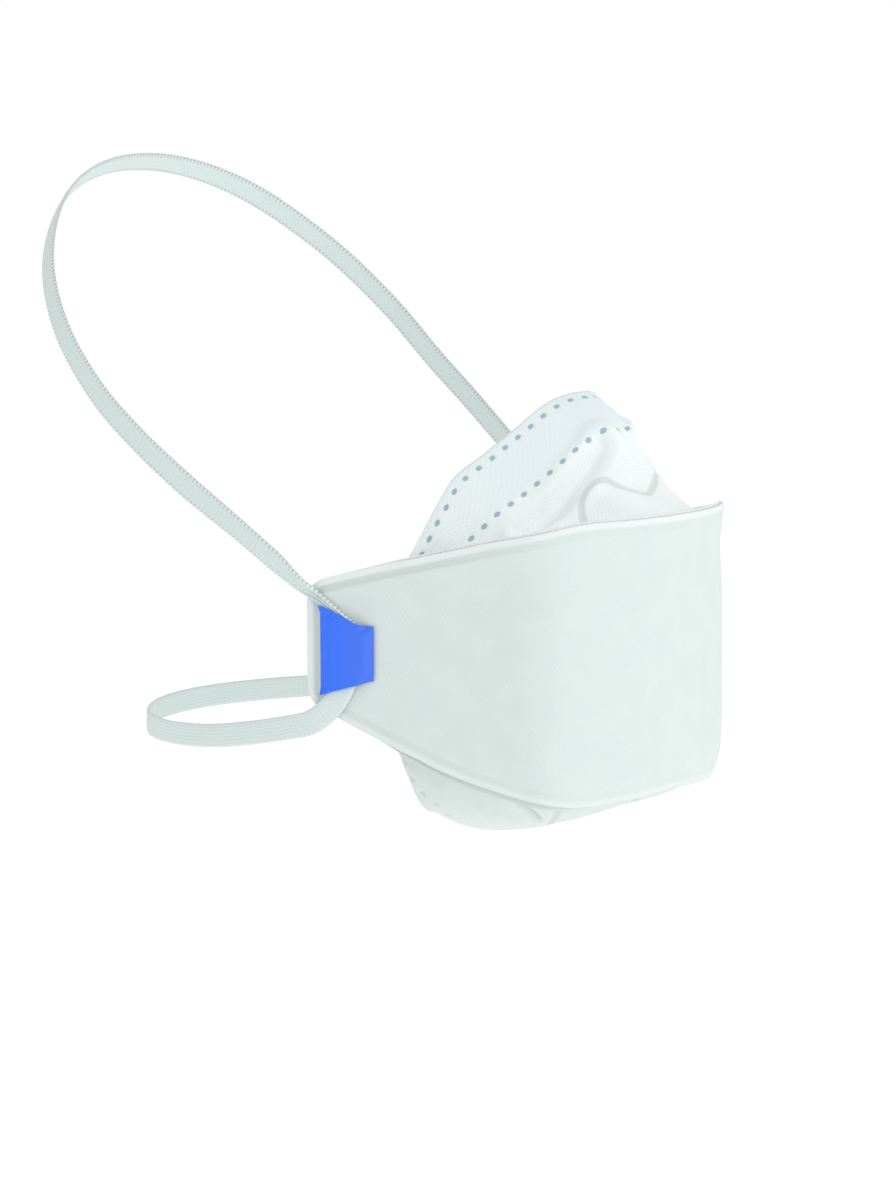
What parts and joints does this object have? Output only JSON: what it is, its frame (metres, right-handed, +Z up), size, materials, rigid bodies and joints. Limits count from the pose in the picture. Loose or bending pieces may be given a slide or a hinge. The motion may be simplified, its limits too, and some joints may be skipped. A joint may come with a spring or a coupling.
{
  "type": "three-panel folding respirator mask",
  "caption": "White three-panel folding respirator mask, opened as worn, with an upper nose panel, a lower chin panel, two elastic head straps and a blue patch at each side.",
  "frame": {"origin": "middle of the face opening, on the plane of symmetry, level with the middle of the centre panel and in the plane where the cheeks seal", "axes": "+Z up, -Y out of the front of the mask, +X to the wearer's left"},
  "size_m": [0.1512, 0.1966, 0.1822],
  "materials": {
    "nonwoven_centre": "matt spunbond nonwoven, calendered smooth",
    "nonwoven_upper": "matt spunbond nonwoven with a fine point bond",
    "nonwoven_lower": "matt spunbond nonwoven",
    "knit_elastic": "matt ribbed knit elastic",
    "blue_film": "satin coloured film"
  },
  "bodies": {
    "root": {"centre_panel": "nonwoven_centre", "upper_panel": "nonwoven_upper", "lower_panel": "nonwoven_lower", "upper_strap": "knit_elastic", "lower_strap": "knit_elastic", "patch_right": "blue_film", "patch_left": "blue_film"}
  },
  "joints": []
}
